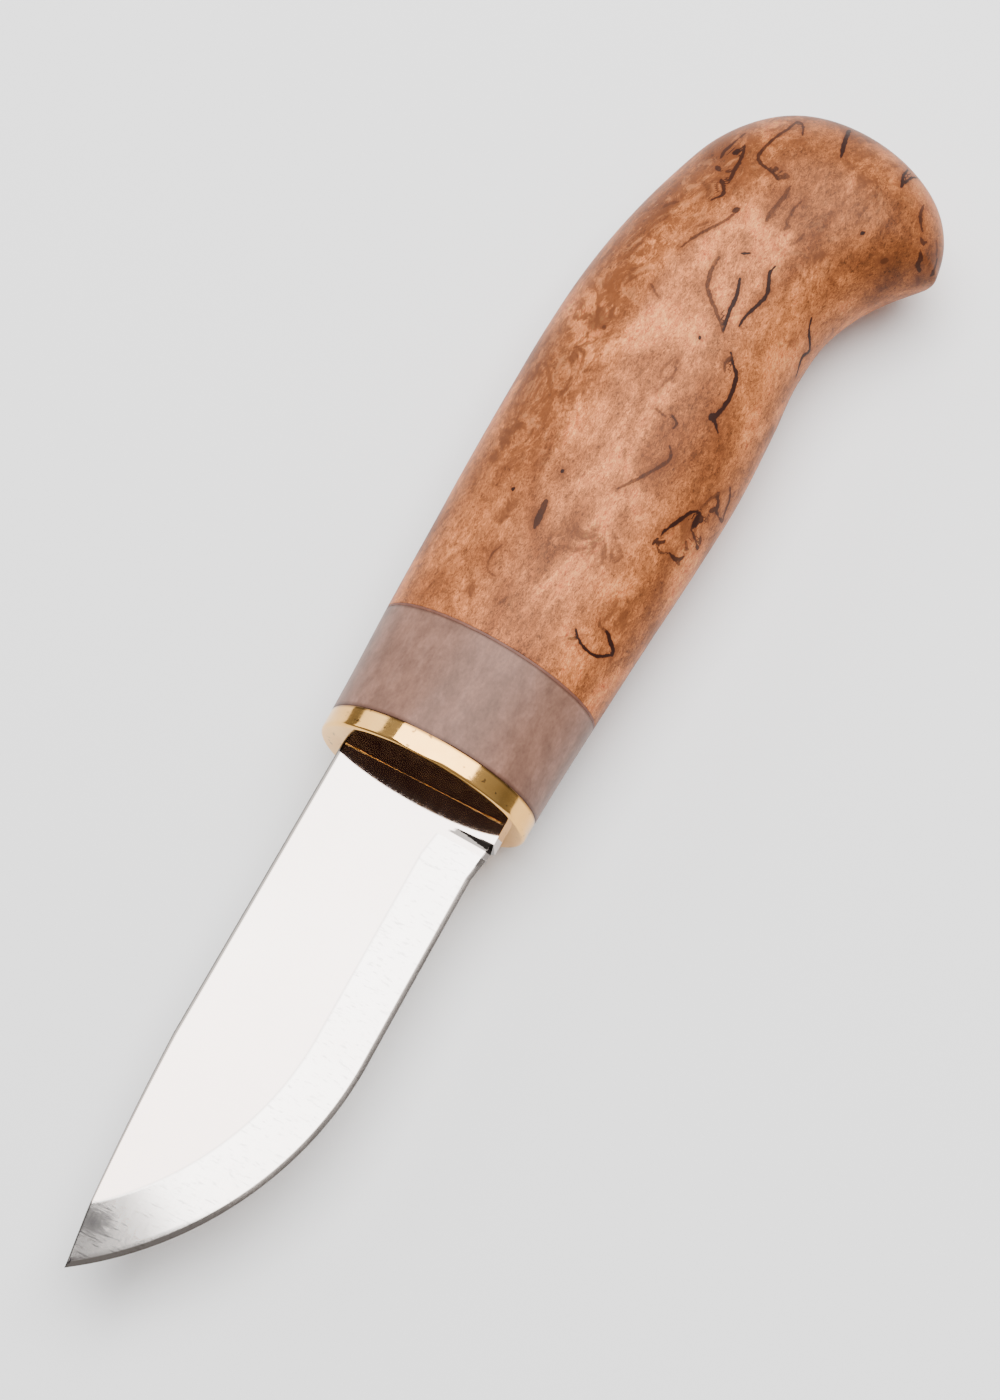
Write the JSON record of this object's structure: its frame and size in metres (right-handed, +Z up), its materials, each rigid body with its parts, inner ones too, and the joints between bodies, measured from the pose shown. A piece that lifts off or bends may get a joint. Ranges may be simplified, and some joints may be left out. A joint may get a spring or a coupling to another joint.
{
  "type": "puukko belt knife",
  "caption": "Fixed-blade stick-tang belt knife: straight-ground polished blade, brass bolster, antler spacer and curly-birch handle with a beaked butt, for carving and outdoor work.",
  "frame": {"origin": "bottom centre of the whole knife's box as it lies on its right side", "axes": "+X from the blade's tip to the butt of the handle, +Y from the cutting edge to the spine, +Z up through the thickness"},
  "size_m": [0.1908, 0.0445, 0.0224],
  "materials": {
    "blade_steel": "polished",
    "bolster_brass": "polished",
    "reindeer_antler": "satin",
    "liner_fibre": "satin",
    "curly_birch": "satin",
    "epoxy": "gloss"
  },
  "bodies": {
    "root": {"blade": "blade_steel", "bolster": "bolster_brass", "antler_spacer": "reindeer_antler", "spacer_liner": "liner_fibre", "birch_handle": "curly_birch", "tang_bedding": "epoxy"}
  },
  "joints": []
}
